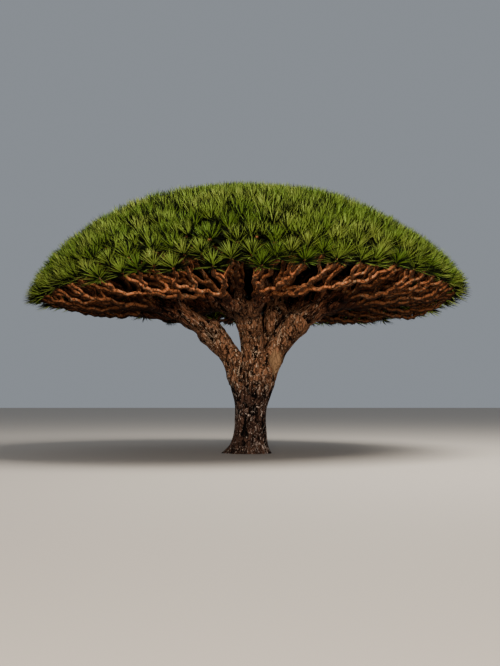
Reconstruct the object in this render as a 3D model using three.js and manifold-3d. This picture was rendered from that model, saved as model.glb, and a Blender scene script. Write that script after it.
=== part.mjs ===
// Dragon blood tree: a stout trunk, limbs that fork again and again, and an umbrella of sword leaves.
// Millimetres, +Z up. The origin is the middle of the flat cut under the trunk, and -Y is the tree's front.
import * as THREE from "three";
import { mergeVertices } from "three/addons/utils/BufferGeometryUtils.js";
import Module from "manifold-3d";

const wasm = await Module();
wasm.setup();

// Driving dimensions of the crown
const height = 7580; // ground to the highest leaf tips
const crownRadius = 6240; // crown's middle to the leaf tips at the rim
const crownShift = -100; // the crown's middle is this far along X from the trunk's foot
const rimHeight = 4500; // the crown's widest ring above the ground
const domeFullness = 1.44; // power of the cosine that shapes the dome: 2 is a parabola, 1 an ellipse
const rimTurn = THREE.MathUtils.degToRad(92); // the dome rolls in under its widest ring and stops here
const tipDepth = 430; // twig tips below the leaf tips
const rimWaves = [
  // the rim rises and falls round the crown: how much, how many times, and where it is highest
  { rise: 160, times: 1, peak: -61 },
  { rise: 155, times: 2, peak: -50 },
];
const shoulder = 110; // the left half of the dome is this much fuller, and the right half that much flatter
const swell = { rise: 75, wide: 4850, deep: 3700, crest: [-130, -600] }; // the dome's low bumps

// Driving dimensions of the trunk
const trunkTop = 2100; // height of the fork
const trunkLean = 0.025; // drift towards +X for each unit of height
const waistRadius = 440;
const footFlare = { wider: 120, fade: 190 }; // how much wider the foot is, and the height over which that fades
const crotchFrom = 1000; // height where the trunk starts to spread into its limbs
const roots = [
  // swellings of the foot: direction in degrees, how far they stand out
  { turn: 182, out: 240 },
  { turn: 120, out: 110 },
  { turn: 48, out: 120 },
  { turn: -18, out: 70 },
  { turn: -80, out: 70 },
  { turn: -132, out: 150 },
];
const rootSpread = 0.36; // half-width of a root swelling, in radians
const rootFade = 240;

// The six boughs that leave the trunk. seat is where each starts on the trunk's top, leaving is its direction
// there, knee is where it first forks, heading is its direction there, over is the place on the crown's map
// that it feeds, and upright is how much its twigs' tips turn from the crown's normal towards plumb.
const boughs = [
  {
    name: "left",
    seat: [-170, -60],
    leaving: [-0.4, 0, 1],
    knee: [-1160, -110, 3440],
    heading: [-0.8, -0.05, 0.5],
    over: [-4700, -300],
    upright: 1.5,
  },
  {
    name: "front",
    seat: [150, -220],
    leaving: [-0.05, -0.15, 1],
    knee: [-40, -620, 3760],
    heading: [-0.1, -0.95, 0.26],
    over: [-150, -4400],
    upright: 1.2,
  },
  {
    name: "middle",
    seat: [280, 190],
    leaving: [0.55, 0.1, 1],
    knee: [800, 360, 4000],
    heading: [-0.15, 0.1, 0.98],
    over: [250, 400],
    upright: 0.6,
  },
  {
    name: "right",
    seat: [320, -80],
    leaving: [0.5, 0, 1],
    knee: [1340, -200, 3700],
    heading: [0.84, -0.05, 0.44],
    over: [4650, -500],
    upright: 3,
  },
  {
    name: "rear_left",
    seat: [100, 270],
    leaving: [-0.05, 0.3, 1],
    knee: [-100, 1100, 4050],
    heading: [-0.6, 0.7, 0.4],
    over: [-2900, 4250],
    upright: 0.7,
  },
  {
    name: "rear_right",
    seat: [190, 240],
    leaving: [0.3, 0.35, 1],
    knee: [900, 1060, 3900],
    heading: [0.6, 0.6, 0.4],
    over: [2950, 4100],
    upright: 0.9,
  },
];
const seatRadius = 400; // a bough's radius where it leaves the trunk
const crotchSharpness = 1.3; // how late the trunk turns from round to the outline of the seats

// The forking rule. Fork 1 is a bough's knee, and each fork halves the piece of crown that its limb feeds.
const forkAt = [0, 0, 0.13, 0.24, 0.36]; // share of the way from knee to twig tip at which each order ends
const limbRadius = [0, 300, 240, 150, 105, 80]; // at the end of each order of limb
const massOrder = 3; // the limb of this order is a mass's stem
const twigOrder = 5; // the last twigs that are modelled
const sprayOrder = 6; // one spray of leaves for each piece of this order
const seatHandle = 0.25; // how long a bough keeps the trunk's direction, as a share of its length
const startHandle = 0.3; // how long a limb keeps its parent's direction
const endHandle = 0.3; // how long it keeps its own direction at its far end
const wayHandles = { leave: 0.4, arrive: 0.22 }; // the same for the whole way from a knee to a twig tip
const flareShare = 0.55; // share of a limb's length over which it thins from its parent's size to its own
const narrower = 0.97; // a limb's start against its parent's end
const twigThick = 1.35; // a three-sided twig against the round twig that it stands for
const splitLean = 0.7; // how far a split turns from square to the longest way across, in radians
const splitUneven = 0.14; // how much the two halves may differ
const faces = { bough: [12, 8], fork: [8, 5], stem: [6, 4] }; // sides and rings of each kind of limb
const seed = 29;

// Leaf beds and leaves
const gap = 0.3; // clearance between parts that meet
const spare = 0.1; // added to each side of a cut between limbs, so that rounding can't close it
const cutAt = 0.55; // share of two limbs' length at which the plane between them is measured
const sunk = 0.5; // how deep a limb's tube begins inside its parent, as a share of its radius, before it is cut
const bed = {
  depth: 330, // its middle below the leaf tips
  half: 200, // half its thickness
  inset: 25, // how far its edge stays inside its mass's piece of the crown
  flat: 0.4, // how far out its top and bottom stay flat: 1 is a round pillow
  closest: 420, // corners nearer to each other than this are merged
  longest: 1700, // sides longer than this are halved
};
const leaf = {
  most: 2, // leaves in a spray: this many in one, one fewer in the next
  width: 210,
  thick: 80,
  root: 540, // its root below the leaf tips
  widest: 0.4, // where it is widest, as a share of its length from the root
  fanned: 38, // tilt from the dome's normal, in degrees
  vary: 8, // how much the tilt varies
  apart: 35, // how far each root stands from the middle of its spray
};
const leafTries = [1, 0.7, 0.4, 0.15]; // shares of its fan at which a leaf is tried, until it keeps to its mass
const leafMargin = 25; // leaves keep this far inside their mass's own piece of the crown
const shortest = 1; // sides of an outline shorter than this have no direction of their own

const barkMaterial = new THREE.MeshStandardMaterial({ color: 0x6b4a33, roughness: 0.9, metalness: 0 });
const leafMaterial = new THREE.MeshStandardMaterial({ color: 0x3f5a17, roughness: 0.6, metalness: 0 });

const vector = (list) => new THREE.Vector3(...list);
const smooth = (t) => THREE.MathUtils.smoothstep(t, 0, 1);

// A fixed number from 0 to 1 for a limb's own number and what it is used for
function chance(id, use) {
  let mixed = Math.imul(id * 64 + use + seed * 4099, 0x9e3779b1) >>> 0;
  mixed = Math.imul(mixed ^ (mixed >>> 15), 0x85ebca6b) >>> 0;
  mixed = Math.imul(mixed ^ (mixed >>> 13), 0xc2b2ae35) >>> 0;
  return ((mixed ^ (mixed >>> 16)) >>> 0) / 4294967296;
}

// The dome's profile from its top to its rim. reach is the radius on a flat map with the same area.
const profileSteps = 360;
const profile = [];
for (let i = 0; i <= profileSteps; i++) {
  const turn = (rimTurn * i) / profileSteps;
  const rise = height - rimHeight;
  const out = crownRadius * Math.sin(turn);
  const steep = Math.abs(Math.cos(turn));
  const up = rimHeight + rise * Math.sign(Math.cos(turn)) * steep ** domeFullness;
  const along = crownRadius * Math.cos(turn);
  const down = rise * domeFullness * steep ** (domeFullness - 1) * Math.sin(turn);
  const length = Math.hypot(along, down);
  const last = profile[i - 1];
  const ring = last ? (out + last.out) * Math.hypot(out - last.out, up - last.up) : 0; // its area over pi
  const reach = last ? Math.sqrt(last.reach ** 2 + ring) : 0;
  profile.push({ out, up, reach, along: along / length, down: down / length });
}
const mapRadius = profile[profileSteps].reach;

// How much higher than a level, round dome the crown stands at an angle and a distance from its middle
function lift(angle, out) {
  const waves = rimWaves.map((w) => w.rise * Math.cos(w.times * (angle - THREE.MathUtils.degToRad(w.peak))));
  const across = (2 * Math.PI * (out * Math.cos(angle) - swell.crest[0])) / swell.wide;
  const back = (2 * Math.PI * (out * Math.sin(angle) - swell.crest[1])) / swell.deep;
  const share = (out / crownRadius) ** 2;
  const fuller = -shoulder * Math.cos(angle) * 4 * share * Math.max(0, 1 - share);
  const bumps = swell.rise * Math.cos(across) * Math.cos(back);
  return waves.reduce((sum, wave) => sum + wave, 0) * share + fuller + bumps;
}

// The point of space over a place on the map, at a height above the surface of the leaf tips
function onCrown(place, above) {
  const reach = Math.hypot(place.x, place.y);
  const angle = Math.atan2(place.y, place.x);
  let i = 1;
  while (i < profileSteps && profile[i].reach < reach) i++;
  const [a, b] = [profile[i - 1], profile[i]];
  const t = Math.min(1, (reach - a.reach) / (b.reach - a.reach));
  const beyond = Math.max(0, reach - mapRadius);
  const mix = (key) => a[key] + (b[key] - a[key]) * t;
  const out = mix("out") + mix("down") * above + mix("along") * beyond;
  const up = mix("up") + mix("along") * above - mix("down") * beyond;
  return new THREE.Vector3(crownShift + Math.cos(angle) * out, Math.sin(angle) * out, up + lift(angle, out));
}

function crownNormal(place) {
  return onCrown(place, 0).sub(onCrown(place, -100)).normalize();
}

// The place on the map that a point of space stands over
function onMap(point) {
  const angle = Math.atan2(point.y, point.x - crownShift);
  const out = Math.hypot(point.y, point.x - crownShift);
  const up = point.z - lift(angle, out);
  const far = (s) => (s.out - out) ** 2 + (s.up - up) ** 2;
  const near = profile.reduce((best, s) => (far(s) < far(best) ? s : best));
  const past = (out - near.out) * near.along - (up - near.up) * near.down;
  const reach = near.reach + past * (near.reach > 1 ? near.out / near.reach : 1);
  return new THREE.Vector2(Math.cos(angle) * reach, Math.sin(angle) * reach);
}

// A piece of the map is a convex outline of points. This keeps what lies behind a line.
function keepBehind(outline, onLine, facing) {
  const side = (p) => (p.x - onLine.x) * facing.x + (p.y - onLine.y) * facing.y;
  return outline.flatMap((p, i) => {
    const q = outline[(i + 1) % outline.length];
    const [a, b] = [side(p), side(q)];
    const kept = a <= 0 ? [p] : [];
    return a * b < 0 ? [...kept, p.clone().lerp(q, a / (a - b))] : kept;
  });
}

function measure(outline) {
  let area = 0;
  const middle = new THREE.Vector2();
  outline.forEach((p, i) => {
    const q = outline[(i + 1) % outline.length];
    const cross = (p.x * q.y - q.x * p.y) / 2;
    area += cross;
    middle.x += ((p.x + q.x) * cross) / 3;
    middle.y += ((p.y + q.y) * cross) / 3;
  });
  return { area, middle: middle.divideScalar(area) };
}

// Halves a piece across its longest way, a little askew and a little unevenly, as the limb's number says
function halve(outline, id) {
  const directions = 16;
  let longest = 0;
  let turn = 0;
  for (let i = 0; i < directions; i++) {
    const angle = (Math.PI * i) / directions;
    const spots = outline.map((p) => p.x * Math.cos(angle) + p.y * Math.sin(angle));
    const across = Math.max(...spots) - Math.min(...spots);
    if (across > longest) [longest, turn] = [across, angle];
  }
  turn += (chance(id, 1) - 0.5) * splitLean;
  const share = 0.5 + (chance(id, 2) - 0.5) * splitUneven;
  const facing = new THREE.Vector2(Math.cos(turn), Math.sin(turn));
  const spots = outline.map((p) => p.dot(facing));
  let [low, high] = [Math.min(...spots), Math.max(...spots)];
  const whole = measure(outline).area;
  while (high - low > 0.01) {
    const middle = (low + high) / 2;
    const part = keepBehind(outline, facing.clone().multiplyScalar(middle), facing);
    if (part.length > 2 && measure(part).area > whole * share) high = middle;
    else low = middle;
  }
  const onLine = facing.clone().multiplyScalar(low);
  return [keepBehind(outline, onLine, facing), keepBehind(outline, onLine, facing.clone().negate())];
}

// The crown is shared among the boughs: each feeds what lies nearest to its own place on the map
function pieceOf(bough) {
  const corners = 48;
  let outline = Array.from({ length: corners }, (_, i) => {
    const angle = (2 * Math.PI * i) / corners;
    return new THREE.Vector2(mapRadius * Math.cos(angle), mapRadius * Math.sin(angle));
  });
  const own = new THREE.Vector2(...bough.over);
  for (const other of boughs.filter((b) => b !== bough)) {
    const theirs = new THREE.Vector2(...other.over);
    outline = keepBehind(outline, own.clone().lerp(theirs, 0.5), theirs.clone().sub(own));
  }
  return outline;
}

// A fork's place: on the curve from the bough's knee to the twig tip over the middle of its piece of crown
function forkPoint(bough, outline, share) {
  const place = measure(outline).middle;
  const knee = vector(bough.knee);
  const tip = onCrown(place, -tipDepth);
  const span = knee.distanceTo(tip);
  const outwards = tip.clone().sub(knee).normalize().add(vector(bough.heading).normalize()).normalize();
  const upwards = crownNormal(place).add(new THREE.Vector3(0, 0, bough.upright)).normalize();
  const leave = knee.clone().addScaledVector(outwards, span * wayHandles.leave);
  const arrive = tip.clone().addScaledVector(upwards, -span * wayHandles.arrive);
  const way = new THREE.CubicBezierCurve3(knee, leave, arrive, tip);
  return { at: way.getPoint(share), heading: way.getTangent(Math.min(share, 0.999)) };
}

// The limb from one fork to the next, leaving along its parent and thinning to its own size
function limbBetween(from, to, startRadius, endRadius, handle = startHandle, leaving = from.heading) {
  const span = from.at.distanceTo(to.at);
  const heading = to.at.clone().sub(from.at).normalize().add(to.heading).normalize();
  const curve = new THREE.CubicBezierCurve3(
    from.at,
    from.at.clone().addScaledVector(leaving, span * handle),
    to.at.clone().addScaledVector(heading, -span * endHandle),
    to.at,
  );
  const radiusAt = (t) => endRadius + (startRadius - endRadius) * (1 - smooth(t / flareShare));
  return { curve, radiusAt, from, to: { at: to.at, heading } };
}

// The whole tree of limbs as a list. Each has its order, its number, its curve and its piece of crown.
function growFrom(bough, parent, outline, order, id) {
  const to = forkPoint(bough, outline, order === twigOrder ? 1 : forkAt[order]);
  const limb = limbBetween(parent.to, to, limbRadius[order - 1] * narrower, limbRadius[order]);
  const made = { ...limb, order, id, outline, children: [] };
  if (order < twigOrder)
    made.children = halve(outline, id).map((half, i) => growFrom(bough, made, half, order + 1, id * 2 + i));
  return made;
}

function growBough(bough, i) {
  const start = { at: new THREE.Vector3(...bough.seat, trunkTop), heading: new THREE.Vector3(0, 0, 1) };
  const knee = { at: vector(bough.knee), heading: vector(bough.heading).normalize() };
  const outline = pieceOf(bough);
  const leaving = vector(bough.leaving).normalize();
  const limb = limbBetween(start, knee, seatRadius, limbRadius[1], seatHandle, leaving);
  const made = { ...limb, order: 1, id: i + 2, outline };
  made.children = halve(outline, made.id).map((half, k) => growFrom(bough, made, half, 2, made.id * 2 + k));
  return made;
}

// Solids
function solidOf(geometry) {
  const bare = geometry.clone();
  bare.deleteAttribute("normal");
  bare.deleteAttribute("uv");
  const merged = mergeVertices(bare, 0.01);
  const mesh = new wasm.Mesh({
    numProp: 3,
    vertProperties: new Float32Array(merged.attributes.position.array),
    triVerts: new Uint32Array(merged.index.array),
  });
  return new wasm.Manifold(mesh);
}

function geometryOf(solid) {
  const mesh = solid.getMesh();
  const geometry = new THREE.BufferGeometry();
  geometry.setAttribute("position", new THREE.BufferAttribute(new Float32Array(mesh.vertProperties), 3));
  geometry.setIndex(new THREE.BufferAttribute(new Uint32Array(mesh.triVerts), 1));
  geometry.computeVertexNormals();
  return geometry;
}

function moveEach(geometry, moved) {
  const spots = geometry.attributes.position;
  const spot = new THREE.Vector3();
  for (let i = 0; i < spots.count; i++) {
    spot.fromBufferAttribute(spots, i);
    spots.setXYZ(i, ...moved(spot).toArray());
  }
  return geometry;
}

// A cylinder drawn out along a curve, with its radius changing on the way
function tube(curve, radiusAt, sides, rings) {
  const frames = curve.computeFrenetFrames(rings);
  return moveEach(new THREE.CylinderGeometry(1, 1, 1, sides, rings), (v) => {
    const row = Math.round((v.y + 0.5) * rings);
    const radius = radiusAt(row / rings);
    return curve
      .getPointAt(row / rings)
      .addScaledVector(frames.normals[row], v.x * radius)
      .addScaledVector(frames.binormals[row], -v.z * radius);
  });
}

// A block that fills everything in front of a plane
function blockBefore(point, facing) {
  const side = 30000;
  const block = new THREE.BoxGeometry(side, side, side).translate(0, 0, side / 2);
  const turn = new THREE.Quaternion().setFromUnitVectors(new THREE.Vector3(0, 0, 1), facing);
  return solidOf(block.applyQuaternion(turn).translate(point.x, point.y, point.z));
}

// The plane midway between two limbs that fork apart: facing points to the first
function planeBetween(limb, other) {
  const start = limb.from.at.clone().lerp(other.from.at, 0.5);
  const half = limb.curve.getPoint(cutAt).lerp(other.curve.getPoint(cutAt), 0.5);
  const along = half.sub(start).normalize();
  const facing = limb.to.at.clone().sub(other.to.at);
  facing.addScaledVector(along, -facing.dot(along)).normalize();
  return { point: start, facing };
}

// Gives each limb of a fork the planes that part it from the others, which its own forks keep to as well
function partLimbs(limbs, inherited) {
  for (const limb of limbs) {
    const own = limbs.filter((other) => other !== limb).map((other) => planeBetween(limb, other));
    limb.planes = [...inherited, ...own];
    partLimbs(limb.children, limb.order === 1 ? [] : own);
  }
}

// Cuts a limb clear of its parent's end and of the limbs that fork beside it
function trimmed(solid, limb) {
  const start = limb.from.at.clone().addScaledVector(limb.from.heading, gap);
  const clear = (kept, { point, facing }) =>
    kept.intersect(blockBefore(point.clone().addScaledVector(facing, gap / 2 + spare), facing));
  return limb.planes.reduce(clear, solid.intersect(blockBefore(start, limb.from.heading)));
}

// The trunk's outline at its top is that of the boughs' seats
function seatsOutline(angle, centre) {
  const dx = Math.cos(angle);
  const dy = Math.sin(angle);
  const reaches = boughs.map(({ seat }) => {
    const [x, y] = [seat[0] - centre, seat[1]];
    const along = x * dx + y * dy;
    const rest = seatRadius ** 2 - x * x - y * y + along * along;
    return rest > 0 ? along + Math.sqrt(rest) : 0;
  });
  return Math.max(...reaches);
}

function trunkRadius(angle, up) {
  const swelling = roots.reduce((sum, { turn, out }) => {
    const off = angle - THREE.MathUtils.degToRad(turn);
    const nearest = Math.atan2(Math.sin(off), Math.cos(off));
    return sum + out * Math.exp(-((nearest / rootSpread) ** 2) - up / rootFade);
  }, 0);
  const round = waistRadius + footFlare.wider * Math.exp(-up / footFlare.fade) + swelling;
  const spread = smooth((up - crotchFrom) / (trunkTop - crotchFrom)) ** crotchSharpness;
  return round + (seatsOutline(angle, trunkLean * trunkTop) - round) * spread;
}

function trunkGeometry() {
  const [sides, rows, closerAtFoot] = [26, 12, 1.25];
  return moveEach(new THREE.CylinderGeometry(1, 1, 1, sides, rows), (v) => {
    const up = trunkTop * (v.y + 0.5) ** closerAtFoot;
    const angle = Math.atan2(-v.z, v.x);
    const radius = v.x === 0 && v.z === 0 ? 0 : trunkRadius(angle, up);
    return new THREE.Vector3(trunkLean * up + Math.cos(angle) * radius, Math.sin(angle) * radius, up);
  });
}

function isInside(outline, place, margin) {
  return outline.every((p, i) => {
    const q = outline[(i + 1) % outline.length];
    const side = q.clone().sub(p);
    const atRim = Math.min(p.length(), q.length()) > mapRadius * 0.99;
    if (atRim || side.length() < shortest) return true;
    const facing = new THREE.Vector2(side.y, -side.x).normalize();
    return place.clone().sub(p).dot(facing) < -margin;
  });
}

// The outline drawn in by a margin, with its close corners merged and its long sides halved
function bedOutline(outline) {
  const inward = (kept, p, i) => {
    const side = outline[(i + 1) % outline.length].clone().sub(p);
    const facing = new THREE.Vector2(side.y, -side.x).normalize();
    const onLine = p.clone().addScaledVector(facing, -bed.inset);
    return side.length() < shortest ? kept : keepBehind(kept, onLine, facing);
  };
  const corners = outline.reduce(inward, outline);
  const kept = corners.filter((p, i) => p.distanceTo(corners.at(i - 1)) > bed.closest);
  return kept.flatMap((p, i) => {
    const next = kept[(i + 1) % kept.length];
    return p.distanceTo(next) > bed.longest ? [p, p.clone().lerp(next, 0.5)] : [p];
  });
}

// The bed of packed leaf bases under a mass's leaves: a pillow laid along the dome
function bedGeometry(outline) {
  const edge = bedOutline(outline);
  const { middle } = measure(edge);
  return moveEach(new THREE.SphereGeometry(1, edge.length, 4), (v) => {
    const ring = Math.hypot(v.x, v.z);
    const column = Math.round((Math.atan2(v.z, -v.x) / (2 * Math.PI)) * edge.length);
    const place = middle.clone().lerp(edge.at(column), ring ** bed.flat);
    return onCrown(place, -bed.depth + v.y * bed.half);
  });
}

// One sword leaf of eight faces, from its root to its point
function leafGeometry(root, point, outwards) {
  const along = point.clone().sub(root);
  const across = along.clone().cross(outwards).normalize();
  const through = across.clone().cross(along).normalize();
  return moveEach(new THREE.OctahedronGeometry(1, 0), (v) => {
    const t = v.x < -0.5 ? 0 : v.x > 0.5 ? 1 : leaf.widest;
    return root
      .clone()
      .addScaledVector(along, t)
      .addScaledVector(through, (v.y * leaf.thick) / 2)
      .addScaledVector(across, (v.z * leaf.width) / 2);
  });
}

// A spray fans its leaves about the dome's normal. A leaf that would leave its mass's piece stands closer in.
function sprayOf(spray, id, mass) {
  const { middle } = measure(spray);
  const normal = crownNormal(middle);
  const sideways = new THREE.Vector3(0, 0, 1).cross(normal).add(new THREE.Vector3(1e-3, 0, 0)).normalize();
  const upwards = normal.clone().cross(sideways);
  const leaves = [];
  const count = id % 2 ? leaf.most : leaf.most - 1;
  for (let i = 0; i < count; i++) {
    const turn = (2 * Math.PI * (i + chance(id, 5))) / count;
    const out = sideways.clone().multiplyScalar(Math.cos(turn)).addScaledVector(upwards, Math.sin(turn));
    const widest = leaf.fanned + leaf.vary * (chance(id, 6 + i) - 0.5);
    for (const share of leafTries) {
      const tilt = THREE.MathUtils.degToRad(widest * share);
      const away = normal.clone().multiplyScalar(Math.cos(tilt)).addScaledVector(out, Math.sin(tilt));
      const root = onCrown(middle, -leaf.root).addScaledVector(out, leaf.apart);
      const point = root.clone().addScaledVector(away, leaf.root / Math.cos(tilt));
      if (!isInside(mass.outline, onMap(point), leafMargin)) continue;
      leaves.push(solidOf(leafGeometry(root, point, out)));
      break;
    }
  }
  return leaves;
}

function spraysOf(outline, order, id, mass) {
  if (order === sprayOrder) return sprayOf(outline, id, mass);
  return halve(outline, id).flatMap((half, i) => spraysOf(half, order + 1, id * 2 + i, mass));
}

// The line from a limb on through the first branch of each fork, as one curve that thins all the way
function leaderOf(limb) {
  const line = [limb];
  while (line.at(-1).children.length) line.push(line.at(-1).children[0]);
  const path = new THREE.CurvePath();
  line.forEach((part) => path.add(part.curve));
  const thick = limb.radiusAt(limb.order === massOrder ? 0 : 1);
  const thin = line.at(-1).radiusAt(1);
  return { line, path, radiusAt: (t) => thick + (thin - thick) * t };
}

// The side branches of a leader, each a leader itself
function twigsOf(limb) {
  const { line } = leaderOf(limb);
  return line.flatMap((part) => part.children.slice(1)).flatMap((side) => {
    const { line: own, path, radiusAt } = leaderOf(side);
    const radius = (t) => radiusAt(t) * twigThick;
    return [solidOf(tube(path, radius, 3, own.length)), ...twigsOf(side)];
  });
}

function massSolid(stem) {
  const { path, radiusAt } = leaderOf(stem);
  const trimmedStem = trimmed(solidOf(tube(path, radiusAt, ...faces.stem)), stem);
  const parts = [...twigsOf(stem), solidOf(bedGeometry(stem.outline))];
  parts.push(...spraysOf(stem.outline, stem.order, stem.id, stem));
  const whole = parts.reduce((sum, part) => sum.add(part), trimmedStem);
  return whole.decompose().reduce((a, b) => (a.volume() > b.volume() ? a : b));
}

// The scene graph
const tree = new THREE.Group();

function addNode(name, geometry, material) {
  const mesh = new THREE.Mesh(geometry, material);
  mesh.name = name;
  tree.add(mesh);
}

// A limb's solid begins a little inside its parent, so that the cut at the parent's end crosses all of it
function addLimb(name, limb, sidesAndRings) {
  const inside = limb.from.at.clone().addScaledVector(limb.curve.getTangent(0), -limb.radiusAt(0) * sunk);
  const path = new THREE.CurvePath();
  path.add(new THREE.LineCurve3(inside, limb.from.at));
  path.add(limb.curve);
  const solid = trimmed(solidOf(tube(path, limb.radiusAt, ...sidesAndRings)), limb);
  addNode(name, geometryOf(solid), barkMaterial);
}

addNode("trunk", trunkGeometry(), barkMaterial);
const grown = boughs.map(growBough);
partLimbs(grown, []);
grown.forEach((bough, i) => {
  const { name } = boughs[i];
  addLimb("bough_" + name, bough, faces.bough);
  bough.children.forEach((fork, k) => {
    const forkName = name + "_" + (k + 1);
    addLimb("bough_" + forkName, fork, faces.fork);
    fork.children.forEach((stem, m) => {
      const solid = massSolid(stem);
      addNode("foliage_" + forkName + "ab"[m], geometryOf(solid), leafMaterial);
    });
  });
});

export default tree;
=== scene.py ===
# Dragon blood tree: bark on the trunk and boughs, twigs carried on to the last fork, and rosettes of sword
# leaves. Metres, +Z up. The origin is the middle of the flat cut under the trunk, and -Y is the tree's front.
import math
import bpy
import numpy as np
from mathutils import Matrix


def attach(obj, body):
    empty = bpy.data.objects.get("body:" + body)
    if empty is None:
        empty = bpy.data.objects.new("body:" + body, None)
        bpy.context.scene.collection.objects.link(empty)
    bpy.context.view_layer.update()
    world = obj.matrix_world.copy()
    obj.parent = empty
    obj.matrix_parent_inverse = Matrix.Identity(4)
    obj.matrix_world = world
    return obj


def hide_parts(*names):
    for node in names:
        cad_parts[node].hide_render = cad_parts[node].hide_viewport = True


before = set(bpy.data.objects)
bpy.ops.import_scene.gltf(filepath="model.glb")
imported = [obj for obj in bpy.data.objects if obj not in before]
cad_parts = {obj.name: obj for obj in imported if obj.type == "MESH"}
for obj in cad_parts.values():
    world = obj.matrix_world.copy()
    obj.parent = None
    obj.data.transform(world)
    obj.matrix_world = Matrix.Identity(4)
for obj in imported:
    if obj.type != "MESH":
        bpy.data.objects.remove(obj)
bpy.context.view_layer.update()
print("frame loaded:", len(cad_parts), "nodes")

# The camera stands low and far off, as in the photograph. Height, focal length and horizon are in pixels.
photo = {"tall": 666, "focal": 910.0, "horizon": 400.0, "distance": 26.0, "eye": 1.5}
lens = {"sensor": 36.0, "furthest": 400.0}

camera = bpy.data.objects.new("camera", bpy.data.cameras.new("camera"))
bpy.context.scene.collection.objects.link(camera)
camera.data.sensor_width = lens["sensor"]
camera.data.lens = lens["sensor"] * photo["focal"] / photo["tall"]
camera.data.clip_end = lens["furthest"]
camera.location = (0.0, -photo["distance"], photo["eye"])
pitch = math.atan((photo["horizon"] - photo["tall"] / 2) / photo["focal"])
camera.rotation_euler = (math.pi / 2 + pitch, 0.0, 0.0)
bpy.context.scene.camera = camera

# The crown's surface through the leaf tips
crown = {
    "height": 7.58,
    "radius": 6.185,
    "shift": -0.105,  # of its axis to the right
    "rimHeight": 4.5,
    "fullness": 1.44,  # power of the cosine in its profile
    "rimTurn": math.radians(92),  # the profile ends just under the rim
    "profileSteps": 361,
    "mapCorners": 48,
    "waves": [(0.16, 1, math.radians(-61)), (0.155, 2, math.radians(-50))],  # rise, times round, highest at
    "shoulder": 0.11,  # the left half of the dome is this much fuller and the right half that much flatter
    "swell": 0.075,  # low bumps: their height, spacing to the right and to the rear, and where one stands
    "swellWide": 4.85,
    "swellDeep": 3.7,
    "swellCrest": (-0.13, -0.6),
    "tipDepth": 0.43,  # twig tips below the leaf tips
    "upright": 0.58,  # how much a rosette turns from the crown's normal to plumb
    "tipUpright": 0.3,  # the same for the way from the leaf tips to the twig tip
}

# How the limbs fork, as in the part's source, carried on to finer twigs
growth = {
    "seed": 29,
    "lastOrder": 8,
    "forkAt": [0, 0, 0.13, 0.24, 0.36, 0.5, 0.65, 0.82, 1],  # share of the way to the twig tip, by order
    "radius": [0, 0.3, 0.24, 0.15, 0.095, 0.07, 0.057, 0.05, 0.047],  # at the end of each order
    "seatRadius": 0.4,  # of a bough where it leaves the trunk
    "seatHandle": 0.25,  # handles of the limbs' curves, as shares of their span
    "startHandle": 0.3,
    "endHandle": 0.3,
    "leave": 0.4,  # the same for the whole way from a knee to a twig tip
    "arrive": 0.22,
    "nearEnd": 0.999,  # a way's heading is read no further along it
    "flareShare": 0.55,  # share of a limb in which it narrows from its parent's radius to its own
    "narrower": 0.97,  # a limb begins so much thinner than its parent ends
    "knuckle": 0.24,  # how much a bough thickens at its first fork, and the limbs of that fork at their start
    "knuckleLong": [0, 0.24, 0.4],  # over this share of the length of each
    "splitWays": 16,  # a piece of the map is halved across the longest of so many ways
    "splitLean": 0.7,  # at most half this many radians askew
    "splitUneven": 0.14,
    "splitExact": 1e-5,
    "wideFrom": 6,  # twigs of this order and finer fork wide and then turn up
    "wide": 1.8,
}

# Each bough: seat on the trunk's top, heading there, first fork, heading at that fork, the place on the
# crown's map that it feeds, and how much its last twigs turn from the crown's normal towards plumb
boughParts = ["seat", "leaving", "knee", "heading", "over", "upright"]
boughs = {
    "left": [(-0.17, -0.06), (-0.4, 0, 1), (-1.16, -0.11, 3.44), (-0.8, -0.05, 0.5), (-4.7, -0.3), 1.5],
    "front": [(0.15, -0.22), (-0.05, -0.15, 1), (-0.04, -0.62, 3.76), (-0.1, -0.95, 0.26), (-0.15, -4.4), 1.2],
    "middle": [(0.28, 0.19), (0.55, 0.1, 1), (0.8, 0.36, 4), (-0.15, 0.1, 0.98), (0.25, 0.4), 0.6],
    "right": [(0.32, -0.08), (0.5, 0, 1), (1.34, -0.2, 3.7), (0.84, -0.05, 0.44), (4.65, -0.5), 3],
    "rear_left": [(0.1, 0.27), (-0.05, 0.3, 1), (-0.1, 1.1, 4.05), (-0.6, 0.7, 0.4), (-2.9, 4.25), 0.7],
    "rear_right": [(0.19, 0.24), (0.3, 0.35, 1), (0.9, 1.06, 3.9), (0.6, 0.6, 0.4), (2.95, 4.1), 0.9],
}
boughs = {name: dict(zip(boughParts, row)) for name, row in boughs.items()}

# The trunk from the ground to the fork
trunk = {
    "top": 2.1,
    "lean": 0.025,  # to the right, for each metre up
    "waist": 0.44,
    "footWider": 0.12,
    "footFade": 0.19,
    "crotchFrom": 1.0,  # from this height up it spreads into the outline of the boughs' seats
    "crotchSharpness": 1.3,
    "roots": [(182, 0.24), (120, 0.11), (48, 0.12), (-18, 0.07), (-80, 0.07), (-132, 0.15)],  # degrees, out
    "rootSpread": 0.36,
    "rootFade": 0.24,
    "sides": 240,
    "rows": 170,
    "rowsLow": 1.15,  # over 1 the rows stand closer at the foot
    "calmer": 0.5,  # share of the relief that fades towards the top
}


def unit(vectors):
    return vectors / np.linalg.norm(vectors, axis=-1, keepdims=True)


def smooth(t):
    t = np.clip(t, 0, 1)
    return t * t * (3 - 2 * t)


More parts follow.
